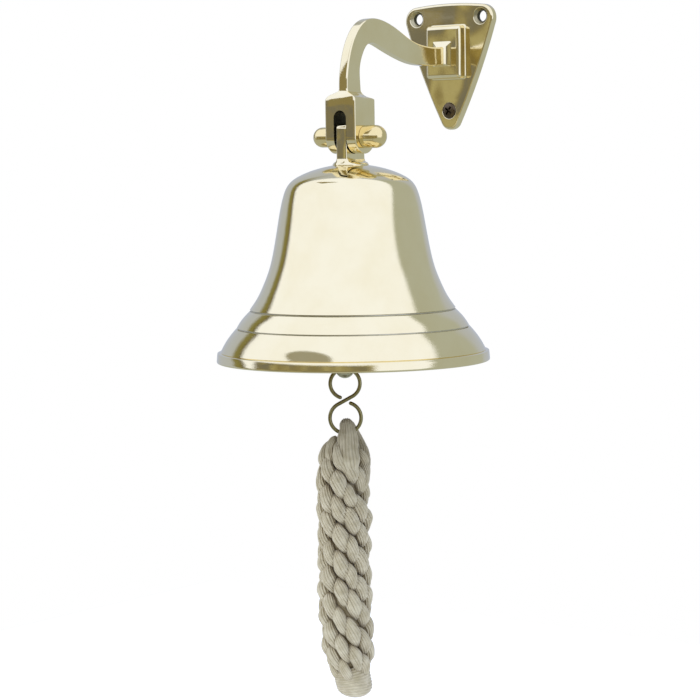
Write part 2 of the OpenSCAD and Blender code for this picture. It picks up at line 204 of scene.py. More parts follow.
def tube(name, path, radius, sides):
    """A round rod along a path in metres, with round ends."""
    p = np.array(path, float)
    t0, t1 = unit(p[0] - p[1]), unit(p[-1] - p[-2])
    angles = np.radians([90, 65, 42, 20])
    start = [p[0] + t0 * radius * math.sin(a) for a in angles]
    end = [p[-1] + t1 * radius * math.sin(a) for a in angles[::-1]]
    cap = [max(radius * math.cos(a), 2e-6) for a in angles]
    radii = np.concatenate([cap, np.full(len(p), radius), cap[::-1]])
    p = np.concatenate([start, p, end])
    turn = np.arange(sides) * TAU / sides
    rings = [c + r * (np.cos(turn)[:, None] * u + np.sin(turn)[:, None] * v)
             for c, r, (u, v) in zip(p, radii, carried_frames(p))]
    piece = skin(name, rings, sharp=60)
    face_outwards(piece)
    return piece


def unit(v):
    return v / max(np.linalg.norm(v), 1e-12)


def carried_frames(p):
    """Two directions across the path at each point, carried along it without twist."""
    tangents = np.gradient(p, axis=0)
    tangents /= np.linalg.norm(tangents, axis=1)[:, None]
    first = np.cross(tangents[0], [0, 0, 1] if abs(tangents[0][2]) < 0.9 else [1, 0, 0])
    u = unit(first)
    frames = []
    for t in tangents:
        u = unit(u - t * np.dot(u, t))
        frames.append((u, np.cross(t, u)))
    return frames


def apply_modifiers(piece):
    bpy.context.view_layer.update()
    evaluated = piece.evaluated_get(bpy.context.evaluated_depsgraph_get())
    mesh = bpy.data.meshes.new_from_object(evaluated)
    piece.modifiers.clear()
    piece.data = mesh


def cut(piece, *cutters, how="DIFFERENCE"):
    """Takes the cutters out of a piece, or joins them to it, and throws the cutters away."""
    for cutter in cutters:
        modifier = piece.modifiers.new("cut", "BOOLEAN")
        modifier.operation = how
        modifier.solver = "EXACT"
        modifier.object = cutter
        apply_modifiers(piece)
        bpy.data.objects.remove(cutter)


def ease_edges(piece, width_mm, angle):
    """Rounds the edges that a cut has left, where the faces meet at more than the angle in degrees."""
    modifier = piece.modifiers.new("ease", "BEVEL")
    modifier.width = width_mm * MM
    modifier.segments = 2
    modifier.limit_method = "ANGLE"
    modifier.angle_limit = math.radians(angle)
    modifier.use_clamp_overlap = True
    modifier.harden_normals = False
    apply_modifiers(piece)
    shade(piece, 50)
    weighted = piece.modifiers.new("normals", "WEIGHTED_NORMAL")
    weighted.keep_sharp = True
    weighted.weight = 80
    apply_modifiers(piece)


def join(name, pieces):
    """One mesh from several."""
    vertices, faces = [], []
    for piece in pieces:
        start = len(vertices)
        vertices += [tuple(v.co) for v in piece.data.vertices]
        faces += [tuple(start + i for i in f.vertices) for f in piece.data.polygons]
        bpy.data.objects.remove(piece)
    return mesh_object(name, vertices, faces, 60)


def mount(piece, body, material, slot, *nodes):
    """Gives a piece its material, sets it riding on its body, and has it stand for its CAD nodes."""
    piece.data.materials.clear()
    piece.data.materials.append(material)
    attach(piece, body)
    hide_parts(*nodes)


# ---- Materials ----

def new_material(name):
    material = bpy.data.materials.new(name)
    material.use_nodes = True
    nodes = material.node_tree.nodes
    return material, nodes, material.node_tree.links, nodes["Principled BSDF"]


def noise(nodes, links, scale, detail=2.0, stretch=(1, 1, 1)):
    """A noise pattern fixed to the object, with scale in features for each metre."""
    place = nodes.new("ShaderNodeTexCoord")
    mapping = nodes.new("ShaderNodeMapping")
    mapping.inputs["Scale"].default_value = stretch
    texture = nodes.new("ShaderNodeTexNoise")
    texture.inputs["Scale"].default_value = scale
    texture.inputs["Detail"].default_value = detail
    links.new(place.outputs["Object"], mapping.inputs["Vector"])
    links.new(mapping.outputs["Vector"], texture.inputs["Vector"])
    return texture


def ramp(nodes, links, source, low, high, colour_low, colour_high):
    node = nodes.new("ShaderNodeValToRGB")
    node.color_ramp.elements[0].position = low
    node.color_ramp.elements[1].position = high
    node.color_ramp.elements[0].color = (*colour_low, 1)
    node.color_ramp.elements[1].color = (*colour_high, 1)
    links.new(source, node.inputs["Fac"])
    return node.outputs["Color"]


def spread(nodes, links, source, low, high):
    """Maps a pattern from 0..1 to low..high."""
    node = nodes.new("ShaderNodeMapRange")
    node.inputs["From Min"].default_value = 0.25
    node.inputs["From Max"].default_value = 0.75
    node.inputs["To Min"].default_value = low
    node.inputs["To Max"].default_value = high
    links.new(source, node.inputs["Value"])
    return node.outputs["Result"]


def bump(nodes, links, source, distance_mm, strength, after=None):
    node = nodes.new("ShaderNodeBump")
    node.inputs["Distance"].default_value = distance_mm * MM
    node.inputs["Strength"].default_value = strength
    links.new(source, node.inputs["Height"])
    if after is not None:
        links.new(after, node.inputs["Normal"])
    return node.outputs["Normal"]


def metal(name, colour, tarnish, rough, wave=0.5, wave_scale=35, scratch=0.02, lines=(1, 1, 1)):
    """Polished or turned metal: a faint cloudiness of colour and gloss, slow waves from hand polishing, and
    fine lines left by the buffing wheel."""
    material, nodes, links, shader = new_material(name)
    shader.inputs["Metallic"].default_value = 1.0
    cloud = noise(nodes, links, 60, 4)
    tint = ramp(nodes, links, cloud.outputs["Fac"], 0.35, 0.75, colour, tarnish)
    links.new(tint, shader.inputs["Base Color"])
    grain = noise(nodes, links, 900, 3, lines)
    gloss = spread(nodes, links, grain.outputs["Fac"], rough * 0.75, rough * 1.35)
    links.new(gloss, shader.inputs["Roughness"])
    waves = noise(nodes, links, wave_scale, 1)
    normal = bump(nodes, links, waves.outputs["Fac"], wave, 1.0)
    fine = noise(nodes, links, 2500, 2, lines)
    links.new(bump(nodes, links, fine.outputs["Fac"], scratch, 0.35, normal), shader.inputs["Normal"])
    return material


def cotton(name, colour, shade_colour):
    """Soft cotton yarn: fine fibres along the strands, a soft sheen, and painted shade: ambient occlusion
    darkens the colour towards brown in the hollows.
    """
    material, nodes, links, shader = new_material(name)
    shader.inputs["Roughness"].default_value = 0.9
    shader.inputs["Sheen Weight"].default_value = 0.35
    shader.inputs["Sheen Roughness"].default_value = 0.6
    shader.inputs["Specular IOR Level"].default_value = 0.15
    blotch = noise(nodes, links, 220, 5)
    tint = ramp(nodes, links, blotch.outputs["Fac"], 0.3, 0.7, shade_colour, colour)
    # painted shade: ambient occlusion within 5 mm darkens the base colour towards brown in the creases
    # between strands
    painted_shade_ao = nodes.new("ShaderNodeAmbientOcclusion")
    painted_shade_ao.inputs["Distance"].default_value = 5 * MM
    painted_shade_ao.samples = 8
    dark = nodes.new("ShaderNodeMix")
    dark.data_type = "RGBA"
    dark.blend_type = "MULTIPLY"
    dark.inputs["Factor"].default_value = 1.0
    links.new(tint, dark.inputs["A"])
    painted_crease_shade = ramp(nodes, links, painted_shade_ao.outputs["AO"], 0.25, 0.85, (0.36, 0.28, 0.14), (1, 1, 1))
    links.new(painted_crease_shade, dark.inputs["B"])
    links.new(dark.outputs["Result"], shader.inputs["Base Color"])
    fibres = noise(nodes, links, 3200, 3, (1, 1, 0.25))
    links.new(bump(nodes, links, fibres.outputs["Fac"], 0.25, 0.7), shader.inputs["Normal"])
    return material


BRASS = (0.90, 0.80, 0.52)
TURNED_LINES = (1, 1, 30)          # fine lines round the bell's axis


def make_materials():
    return {
        "bell": metal("bell_brass", BRASS, (0.87, 0.76, 0.47), 0.045, wave=0.10, wave_scale=28,
                      lines=TURNED_LINES),
        "inside": metal("inner_brass", (0.66, 0.53, 0.29), (0.55, 0.43, 0.22), 0.32, wave=0.2, scratch=0.05,
                        lines=TURNED_LINES),
        "cast": metal("cast_brass", BRASS, (0.86, 0.74, 0.44), 0.07, wave=0.45, wave_scale=60),
        "plate": metal("plate_brass", BRASS, (0.84, 0.72, 0.42), 0.07, wave=3.0, wave_scale=26),
        "turned": metal("turned_brass", (0.87, 0.73, 0.39), (0.83, 0.67, 0.32), 0.08, wave=0.15, scratch=0.03,
                        lines=(30, 1, 1)),
        "wire": metal("wire_brass", (0.36, 0.32, 0.15), (0.27, 0.23, 0.10), 0.28, wave=0.1, scratch=0.012),
        "knob": metal("knob_brass", (0.56, 0.54, 0.38), (0.48, 0.45, 0.30), 0.22, wave=0.15, scratch=0.03),
        "screw": metal("dark_screw", (0.16, 0.12, 0.07), (0.07, 0.05, 0.035), 0.30, wave=0.15, scratch=0.06),
        "groove": metal("groove_brass", (0.60, 0.57, 0.45), (0.52, 0.49, 0.38), 0.35, wave=0.1, scratch=0.02),
        # painted shade: a darker, rougher brass for the countersinks' cones
        "sink": metal("countersink_painted_shade", (0.50, 0.45, 0.28), (0.34, 0.29, 0.16), 0.30, wave=0.2, scratch=0.04),
        # painted shade: near-black brass for the walls of the plate's holes and the inside of the fork's slot
        "slot": metal("painted_shade_brass", (0.10, 0.09, 0.05), (0.05, 0.045, 0.03), 0.5, wave=0.2, scratch=0.05),
        "steel": metal("zinc_steel", (0.62, 0.62, 0.61), (0.50, 0.50, 0.48), 0.28, wave=0.1, scratch=0.05),
        "cotton": cotton("cotton", (0.609, 0.558, 0.387), (0.435, 0.380, 0.231)),
    }


# ---- Bracket ----

PLATE_W, PLATE_RISE, PLATE_H, PLATE_T = 62, 8.2, 72.7, 4.5
PAD_W, PAD_H, PAD_T = 24, 30, 6.5
CORNER_R, TIP_R, EDGE_SAG = 8, 6.5, 1.3
HOLE_SPACING, HOLE_DROP, HOLE_R, SINK_R = 45, 53.5, 3.1, 4.8
ROOT_Z, PAD_Z = -22.4, -20.0        # heights of the arm's root and of the pad's middle
BOLT_R = 3.0


def plate_outline(inset):
    """Outline of the shield-shaped plate as [x, z], the given distance inside its edge."""
    right_corner = arc(PLATE_W / 2 - CORNER_R, PLATE_RISE - EDGE_SAG - CORNER_R, CORNER_R - inset,
                       84, -17, 12)
    right_tip = arc(0, PLATE_RISE - PLATE_H + TIP_R, TIP_R - inset, -23, -90, 9)
    right = np.concatenate([right_corner, bowed(right_corner[-1], right_tip[0], EDGE_SAG, 12), right_tip])
    left = right[-2::-1] * np.array([-1, 1])
    top = bowed(left[-1], right[0], PLATE_RISE - inset - right[0][1], 16)
    return np.concatenate([right, left, top])


def layers(name, outline, steps):
    """A plate-like solid from an outline(inset) function and its [inset, distance from the wall] steps."""
    rings = []
    for inset, y in steps:
        flat = outline(inset)
        rings.append(np.stack([flat[:, 0], np.full(len(flat), -y), flat[:, 1]], 1) * MM)
    piece = skin(name, rings)
    face_outwards(piece)
    return piece


def eased(t, r, steps):
    """Steps of [inset, height] round a front edge of radius r, up to height t."""
    return [[r - r * math.cos(a), t - r + r * math.sin(a)] for a in np.radians(np.linspace(0, 90, steps + 1))]


def make_plate(materials):
    plate = layers("wall_plate_visual", plate_outline, [[0.3, 0], [0, 0.3]] + eased(PLATE_T, 1.5, 6))
    face = PLATE_T + PAD_T

    def pad_outline(inset):
        return round_box(PAD_W / 2 - inset, PAD_H / 2 - inset, 1.6 - inset * 0.5) + np.array([0, PAD_Z])

    pad = layers("pad", pad_outline, [[-0.9, PLATE_T - 0.8], [-0.9, PLATE_T], [-0.35, PLATE_T + 0.15],
                                      [0, PLATE_T + 0.7]] + eased(face, 2.3, 7))
    cut(plate, pad, how="UNION")
    sink = SINK_R - HOLE_R
    for x, z in [(-HOLE_SPACING / 2, 0), (HOLE_SPACING / 2, 0), (0, -HOLE_DROP)]:
        hole = lathe("hole", [[0, 1], [HOLE_R, 1], [HOLE_R, sink - PLATE_T], [SINK_R, -PLATE_T],
                              [SINK_R + 0.05, -PLATE_T - 1], [0, -PLATE_T - 1]],
                     (x * MM, 0, z * MM), "Y", 64)
        cut(plate, hole)
    screw_way = lathe("hole", [[0, 1], [4.15, 1], [4.15, 0], [2.15, -2], [2.15, -face - 1], [0, -face - 1]],
                      (0, 0, ROOT_Z * MM), "Y", 48)
    cut(plate, screw_way)
    ease_edges(plate, 0.22, 32)
    mount(plate, "bracket", materials["plate"], "plate_brass", "wall_plate")
    # painted shade: the holes' walls get the near-black slot material
    plate.data.materials.append(materials["slot"])
    # painted shade: the countersinks' cones get the darker sink brass
    plate.data.materials.append(materials["sink"])
    for polygon in plate.data.polygons:
        x, y, z = polygon.center / MM
        sunk = min(math.hypot(abs(x) - HOLE_SPACING / 2, z), math.hypot(x, z + HOLE_DROP))
        if sunk < HOLE_R + 0.15 and abs(polygon.normal.y) < 0.5:
            polygon.material_index = 1
        elif abs(polygon.normal.y) < 0.9 and -PLATE_T + 0.1 < y and sunk < SINK_R:
            polygon.material_index = 2


def make_fixing_screw(materials):
    low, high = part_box("fixing_screw")
    centre = ((low.x + high.x) / 2, 0, (low.z + high.z) / 2)
    tip = high.y / MM
    shank = [[2.4, -2.6], [2.4, 0]]
    for turn in np.arange(0.6, tip - 1.6, 0.9):
        slim = min(1, (tip - turn) / 5)
        shank += [[1.6 * slim, turn], [2.4 * slim, turn + 0.45]]
    head = [[0, -5.35], [1.4, -5.32], [2.6, -5.2], [3.6, -4.95], [4.35, -4.65], [4.5, -4.4],
            [4.45, -4.2]]
    screw = lathe("fixing_screw_visual", head + shank + [[0, tip]], centre, "Y", 64)
    for turn in (35, 125):
        slot = layers("slot", lambda inset: round_box(2.7 - inset, 0.6, 0.15, 2), [[0, 3.5], [0, 7]])
        slot.data.transform(Matrix.Translation(centre) @ Matrix.Rotation(math.radians(turn), 4, "Y"))
        cut(screw, slot)
    shade(screw, 40)
    mount(screw, "bracket", materials["screw"], "screw_steel", "fixing_screw")


# Pairs of points across the arm, from the wall to the fork: [distance from the fork's middle towards the
# wall, height from the swing bolt] on its upper and on its lower edge
ARM_TOP = [[84, 51.0], [71, 50.8], [57, 53], [47.5, 57], [36.5, 61.9], [26, 64.8], [17, 65.3], [9.5, 63],
           [3.4, 57.6], [-1, 50.6], [-3.7, 43.5], [-5.4, 36.5], [-6.1, 31], [-6.2, 26]]
ARM_UNDER = [[84, 41.0], [73, 40.2], [60, 40.5], [50, 42.2], [38.5, 45.5], [28.5, 48.9], [20.8, 51.6],
             [14, 51.4], [9.8, 47.2], [6.9, 41.4], [5.9, 37], [5.9, 33.5], [6.2, 29.5], [6.5, 25.4]]
ARM_HALF = 3.0
EDGE_R = 0.9
FORK_HALF = 10.4
FORK_DEPTH = 9.2
SLOT_HALF = 4.3
SLOT_TOP = 14.4
# Below the arm, down over the dome to the fork's cheeks: [height at the front, at the back, half width along
# the bolt, front, back]
SHOULDER = [[25.2, 24.6, 3.3, -6.25, 6.6], [24.7, 23.6, 3.9, -6.4, 6.9], [24.2, 22.6, 4.9, -6.8, 7.3],
            [23.7, 21.8, 6.2, -7.3, 7.8], [23.1, 21.3, 7.6, -7.9, 8.4], [22.3, 20.9, 8.9, -8.5, 8.9],
            [21.4, 20.6, 9.8, -8.9, 9.1], [20.5, 20.2, 10.3, -9.15, 9.2], [19.4, 19.4, 10.4, -9.2, 9.2],
            [16, 16, 10.4, -9.2, 9.2], [10, 10, 10.4, -9.2, 9.2], [4, 4, 10.4, -9.2, 9.2]]


def arm_ring(top, under, half, r):
    """Ring of points across the arm between its upper and lower edge."""
    top, under = np.array(top), np.array(under)
    middle, across = (top + under) / 2, (top - under) / 2
    length = np.linalg.norm(across)
    flat = round_box(half, length, r)
    at = middle + flat[:, 1:2] * across / length
    return np.stack([flat[:, 0], at[:, 0] - reach, at[:, 1]], 1) * MM + np.array([0, 0, pin.z])


def make_arm(materials):
    top, under = relaxed(smooth(ARM_TOP, 6), 12), relaxed(smooth(ARM_UNDER, 6), 12)
    rings = []
    # the foot flares out to the pad, mostly upwards
    for y, grow, half in [(87.3, 3.6, 6.4), (86.9, 3.6, 6.4), (86.5, 2.9, 5.4), (86.0, 2.1, 4.6),
                          (85.3, 1.2, 3.8), (84.5, 0.4, 3.2)]:
        rings.append(arm_ring([y, 51 + grow], [y, 41 - grow * 0.25], half, EDGE_R))
    rings += [arm_ring(a, b, ARM_HALF, EDGE_R) for a, b in zip(top, under)]
    for high, low, half, front, back in SHOULDER:
        rings.append(arm_ring([front, high], [back, low], half, EDGE_R))
    # the cheeks end round, about the bolt
    for a in np.radians(np.linspace(0, 88, 16)):
        depth, drop = FORK_DEPTH * math.cos(a), FORK_DEPTH * math.sin(a)
        rings.append(arm_ring([-depth, -drop], [depth, -drop], FORK_HALF, min(EDGE_R, depth * 0.6)))
    arm = skin("bracket_arm_visual", rings)
    face_outwards(arm)
    arch = SLOT_TOP - SLOT_HALF
    slot_outline = np.concatenate([arc(0, arch, SLOT_HALF, 0, 180, 20),
                                   [[-SLOT_HALF, -20], [SLOT_HALF, -20]]])
    slot = layers("slot", lambda inset: slot_outline + np.array([0, pin.z / MM]),
                  [[0, reach - 20], [0, reach + 20]])
    bore = lathe("bore", [[0, -20], [BOLT_R + 0.05, -20], [BOLT_R + 0.05, 20], [0, 20]], pin, "X", 64)
    thread = lathe("thread", [[0, -20], [2.05, -20], [2.05, -5], [0, -5]], (0, 0, ROOT_Z * MM), "Y", 48)
    cut(arm, slot, bore, thread)
    ease_edges(arm, 0.4, 42)
    mount(arm, "bracket", materials["cast"], "arm_brass", "bracket_arm")
    # painted shade: the faces inside the fork's slot get the near-black slot material
    arm.data.materials.append(materials["slot"])
    for polygon in arm.data.polygons:
        x, y, z = (polygon.center - pin) / MM
        if abs(x) < SLOT_HALF + 0.05 and abs(y) < FORK_DEPTH - 0.5 and -FORK_DEPTH < z < SLOT_TOP + 0.1:
            polygon.material_index = 1


def acorn_profile(d, length):
    """A short cylinder that ends in a dome, with its foot's edge eased."""
    dome = arc(0, 0, d / 2, 0, 90, 20)
    return ([[0, 0], [d / 2 - 0.7, 0], [d / 2 - 0.2, 0.2], [d / 2, 0.7]] +
            [[max(x, 0), length + y] for x, y in dome])


def make_bolt(materials):
    head = lathe("head", [[r, -FORK_HALF - h] for r, h in acorn_profile(11.1, 8.6)], pin, "X", 72)
    shank = lathe("shank", [[0, -FORK_HALF - 1], [BOLT_R, -FORK_HALF - 1], [BOLT_R, FORK_HALF + 6],
                            [BOLT_R - 0.4, FORK_HALF + 6.4], [0, FORK_HALF + 6.4]], pin, "X", 48)
    bolt = join("swing_bolt_visual", [head, shank])
    face_outwards(bolt)
    mount(bolt, "bracket", materials["turned"], "bolt_brass", "swing_bolt")
    nut = lathe("cap_nut_visual", [[r, FORK_HALF + h] for r, h in acorn_profile(12.5, 7)], pin, "X", 72)
    way = lathe("way", [[0, FORK_HALF - 1], [BOLT_R + 0.05, FORK_HALF - 1],
                        [BOLT_R + 0.05, FORK_HALF + 6.9], [0, FORK_HALF + 6.9]], pin, "X", 48)
    cut(nut, way)
    shade(nut, 40)
    mount(nut, "bracket", materials["turned"], "bolt_brass", "cap_nut")


# ---- Bell ----

# Profile of the outside, [radius, height from the swing bolt]
BELL_OUT = [[10, -15.5], [13.5, -16.1], [17.4, -17], [22.5, -18.5], [27.3, -20.5], [31.2, -22.6],
            [34, -25], [35.9, -28], [37.2, -31.5], [38.8, -37.5], [40.5, -47], [42.2, -57], [44.1, -66.5],
            [46, -73.3], [48.7, -80], [51.5, -86.2], [54, -90.2], [56.7, -94]]
BAND_1 = [[56.9, -95], [59.8, -97.8], [62.2, -100.7], [64, -103.8]]
BAND_2 = [[64.6, -104.6], [67.3, -107.6], [69.6, -110.7], [71.6, -113.9], [73.2, -117.2]]
LIP = [[73.6, -117.5], [74.5, -117.6], [75.0, -117.8], [75.1, -118.2], [75.25, -120], [75.4, -121.7],
       [75.45, -122.4], [75.3, -122.8], [74.9, -123]]
BELL_IN = [[72.6, -123], [70.6, -119.5], [66, -113], [61, -105.6], [56, -98.5], [50.2, -89.5], [45.2, -80],
           [42, -71], [39, -59], [37, -46], [35.2, -36], [33, -30], [29, -25.6], [22, -21.6],
           [14, -19.4], [10.5, -19]]
GROOVES = [-94.6, -104.0]
GROOVE_HALF = 0.32


def make_bell(materials):
    waist = relaxed(smooth(BELL_OUT, 12), 60)
    upper = relaxed(smooth(BAND_1, 8), 40)
    lower = relaxed(smooth(BAND_2, 8), 40)
    profile = np.concatenate([[[4.1, -15.5]], waist, [[56.2, -94.3], [56.2, -94.75]], upper,
                              [[63.5, -103.8], [63.5, -104.4]], lower, [[73.0, -117.4]], LIP,
                              relaxed(smooth(BELL_IN, 6), 20), [[4.1, -19]]])
    bell = lathe("bell_visual", profile, pin, segments=288, closed=True, sharp=28)
    mount(bell, "bell", materials["bell"], "bell_brass", "bell_body")
    bell.data.materials.append(materials["inside"])
    bell.data.materials.append(materials["groove"])
    axis = np.array([pin.x, pin.y])
    for polygon in bell.data.polygons:
        centre, normal = polygon.center, polygon.normal
        out = np.array([centre.x, centre.y]) - axis
        height = (centre.z - pin.z) / MM
        if np.dot(out, [normal.x, normal.y]) < -1e-9 and centre.z < pin.z - 20 * MM:
            polygon.material_index = 1
        elif min(abs(height - groove) for groove in GROOVES) < GROOVE_HALF:
            polygon.material_index = 2


LUG_HALF, LUG_DEPTH, LUG_TOP = 3.5, 8.3, 7.2
SEAT = -15.5                       # height of the crown, where the lug's flange sits


def make_lug(materials):
    """The lug: a flat tongue that flares into a round flange on the crown."""
    def ring(z, half, depth, r):
        flat = round_box(half, depth, r, 8)
        return np.stack([flat[:, 0], flat[:, 1], np.full(len(flat), z)], 1) * MM + np.array(pin)

    rings = []
    for a in np.radians([88, 70, 50, 30, 10]):
        rings.append(ring(LUG_TOP - 2.5 + 2.5 * math.sin(a), LUG_HALF - 0.5 * math.sin(a) ** 6,
                          LUG_DEPTH - 2.5 + 2.5 * math.cos(a), 0.7))
    for z in (4, 0, -6, -10):
        rings.append(ring(z, LUG_HALF, LUG_DEPTH, 0.7))
    # concave flare down to the flange
    for t in np.linspace(0.2, 1, 6):
        flare = 1 - math.sqrt(1 - t * t)
        rings.append(ring(-11 - 3.0 * t, LUG_HALF + 5.0 * flare, LUG_DEPTH + 1.3 * flare, 0.7 + 7.6 * flare))
    rings.append(ring(-14.6, 9.3, 9.8, 9.2))
    rings.append(ring(-15.1, 9.9, 9.95, 9.8))
    rings.append(ring(SEAT - 0.1, 10, 10, 9.9))
    lug = skin("crown_lug_visual", rings)
    face_outwards(lug)
    cut(lug, lathe("bore", [[0, -20], [BOLT_R + 0.15, -20], [BOLT_R + 0.15, 20], [0, 20]], pin, "X", 64))
    ease_edges(lug, 0.3, 45)
    thread = []
    for z in np.arange(-19.5, -30.5, -0.9):
        thread += [[4.0, z], [3.55, z - 0.45]]
    stud = lathe("stud", [[0, SEAT + 0.5], [3.95, SEAT + 0.5], [3.95, -19]] + thread
                 + [[3.3, -31.2], [0, -31.2]], pin, segments=48)
    lug = join("crown_lug_visual", [lug, stud])
    shade(lug, 40)
    mount(lug, "bell", materials["cast"], "lug_brass", "crown_lug")


# ---- Clapper ----

def hung(w):
    """A point on the clapper's line, at a height from the swing bolt."""
    return Vector((hang_x, pin.y, pin.z + w * MM))


KNOB_R, KNOB_Z = 5.45, -127.8
BALL_R, BALL_Z = 12.5, -106
SHANK_R = 2.5
HOOK_HOLE_Z = -128.95


def make_clapper(materials):
    shank = lathe("shank", [[0, -42.2], [1.9, -42.4], [2.1, -44], [SHANK_R, -45.5], [SHANK_R, -60],
                            [SHANK_R, -90], [SHANK_R, -118], [SHANK_R, -124.2], [0, -124.2]],
                  hung(0), segments=40)
    eye = lathe("eye", [[2.15, -1.6], [2.35, -2.0], [5.1, -2.0], [5.5, -1.6], [5.5, 1.6], [5.1, 2.0],
                        [2.35, 2.0], [2.15, 1.6]], clapper_pin, "X", 64, closed=True)
    shank = join("clapper_shank_visual", [shank, eye])
    mount(shank, "clapper", materials["turned"], "clapper_brass", "clapper_shank")
    ball_arc = arc(0, BALL_Z, BALL_R, 78.3, -78.3, 40)
    ends = [[[SHANK_R + 0.05, BALL_Z + 12.2]], [[SHANK_R + 0.05, BALL_Z - 12.2]]]
    ball = lathe("clapper_ball_visual", np.concatenate([ends[0], ball_arc, ends[1]]), hung(0),
                 segments=80, closed=True)
    mount(ball, "clapper", materials["turned"], "clapper_brass", "clapper_ball")
    knob_arc = arc(0, KNOB_Z, KNOB_R, 48, -90, 30)
    knob = lathe("clapper_knob_visual",
                 np.concatenate([[[0, -119.5], [3.1, -119.5], [3.5, -119.9], [3.5, -122.2]], knob_arc]),
                 hung(0), segments=72)
    side = Matrix.Rotation(math.atan2(hook_axis.y, hook_axis.x), 4, "Z")
    hole = lathe("hole", [[0, -20], [2.2, -20], [2.2, 20], [0, 20]], (0, 0, 0), "X", 48)
    hole.data.transform(Matrix.Translation(hung(HOOK_HOLE_Z)) @ side)
    cut(knob, hole)
    cut(knob, lathe("hole", [[0, -124.3], [SHANK_R + 0.05, -124.3], [SHANK_R + 0.05, -110], [0, -110]],
                    hung(0), segments=40))
    ease_edges(knob, 0.3, 40)
    mount(knob, "clapper", materials["knob"], "clapper_brass", "clapper_knob")


# ---- Hook ----

WIRE_D = 2.1
HOOK_Z, LOOP_GAP, UPPER_R, LOWER_R = -136.2, 19.2, 8.25, 8.65


def make_hook(materials):
    cross = math.degrees(math.asin((UPPER_R + LOWER_R) / LOOP_GAP))
    upper = arc(0, HOOK_Z, UPPER_R, 250, -cross, 90)
    lower = arc(0, HOOK_Z - LOOP_GAP, LOWER_R, 180 - cross, 430, 90)
    between = upper[-1] + (lower[0] - upper[-1]) * (np.arange(1, 12) / 12)[:, None]
    flat = np.concatenate([upper, between, lower])
    sideways = np.array(hook_axis)
    path = np.array(hung(0)) + (flat[:, :1] * sideways + flat[:, 1:] * np.array([0, 0, 1])) * MM
    hook = tube("s_hook_visual", path, WIRE_D / 2 * MM, sides=28)
    mount(hook, "hook", materials["wire"], "wire_brass", "s_hook")


# ---- Lanyard ----

ROPE_R = 15.4                      # over the lobes
ROPE_END = -313.2
COLUMNS = 11
LOBE_LENGTH = 16.6
LOBE_TURN = 0.44                   # how far a lobe winds round the rope, in radians
TIER = 15.2                        # drop from one lobe to the next in a column
LEAN = 5 * TIER / COLUMNS          # drop from a lobe to its neighbour on the right
FIRST_LOBE = -142.9
FACING = math.radians(-3.8)        # turns the columns to where they show in front
CORE_TOP = -171
WHIPPING = 18                      # length of the whipped end
YARN_PITCH = 1.5

# Middle line of the lanyard from the top of its loop: [sideways, height from the swing bolt]
LANYARD_ROUTE = [[0.4, -155.5], [0.2, -160], [-0.2, -165], [-0.7, -170], [-1.4, -178], [-1.9, -187],
                 [-1.9, -197], [-1.6, -208], [-1.5, -220], [-1.6, -232], [-1.6, -244], [-1.5, -256],
                 [-1.2, -268], [-0.8, -278], [-0.2, -287], [0.8, -295], [2.0, -302], [3.2, -308],
                 [3.7, -313], [3.7, ROPE_END]]

# Strands of the loop: [sideways, across, height from the swing bolt, half width, half thickness]. The first
# comes up in front, turns over the hook's wire and runs down behind, to the right; the second is on the left
LOOP_STRANDS = [
    [[3.2, -8.0, -190, 1.2, 1.2], [2.9, -9.6, -187.5, 3.0, 2.3], [2.3, -10.4, -183.5, 4.8, 3.5],
     [1.4, -10.2, -178.5, 6.3, 4.1], [0.9, -9.0, -173, 6.5, 4.0], [0.9, -7.0, -167.5, 5.5, 3.6],
     [1.0, -5.5, -162.5, 5.0, 3.2], [0.8, -3.4, -159.4, 4.2, 2.9], [0.5, 0, -158.3, 3.4, 2.8],
     [1.2, 3.6, -159.6, 3.8, 2.9], [2.5, 6.2, -164, 4.2, 3.2], [5.8, 5.9, -170, 4.7, 3.9],
     [8.8, 2.6, -176.5, 4.5, 4.1], [9.6, -1.2, -183.5, 4.3, 4.1], [8.9, -4.4, -190, 3.8, 3.6],
     [7.4, -6.2, -196, 2.0, 2.0]],
    [[-4.9, -3.2, -165.6, 1.2, 1.2], [-6.7, -3.9, -168, 2.8, 2.8], [-8.3, -5.2, -172, 3.3, 3.2],
     [-8.0, -6.2, -177, 3.0, 2.9], [-6.2, -5.8, -182, 1.6, 1.6]]]


def rope_point(side, across, w):
    """A point of the lanyard: sideways along the hook, across it, away from the front, and its height."""
    s = np.array(hook_axis)
    a = np.array([-s[1], s[0], 0])
    return np.array(hung(0)) + (side * s + across * a + w * np.array([0, 0, 1])) * MM


def strand(name, centres, widths, outs, rng, yarns=15, twist=0.10):
    """One soft strand: its yarns show as uneven ridges that wind slowly round it."""
    centres = np.array(centres)
    tangents = np.gradient(centres, axis=0)
    tangents /= np.linalg.norm(tangents, axis=1)[:, None]
    sides = yarns * 4
    turn = np.arange(sides) * TAU / sides
    lift = np.repeat(rng.uniform(-0.05, 0.05, yarns), 4)
    bend = rng.uniform(0, TAU)
    rings = []
    for i, (c, (half, thick), out, t) in enumerate(zip(centres, widths, outs, tangents)):
        out = unit(out - t * np.dot(out, t))
        wide = np.cross(t, out)
        wind = twist * TAU * i / len(centres)
        ridge = 1 + lift * math.cos(i * 0.25 + bend) - 0.12 * (1 - np.abs(np.sin(turn * yarns / 2))) ** 1.5
        lump = 1 + 0.06 * math.sin(i * 0.55 + bend)
        across = half * lump * ridge * np.cos(turn + wind)
        away = thick * lump * ridge * np.sin(turn + wind)
        rings.append(c + MM * (across[:, None] * wide + away[:, None] * out))
    return skin(name, rings, sharp=80)


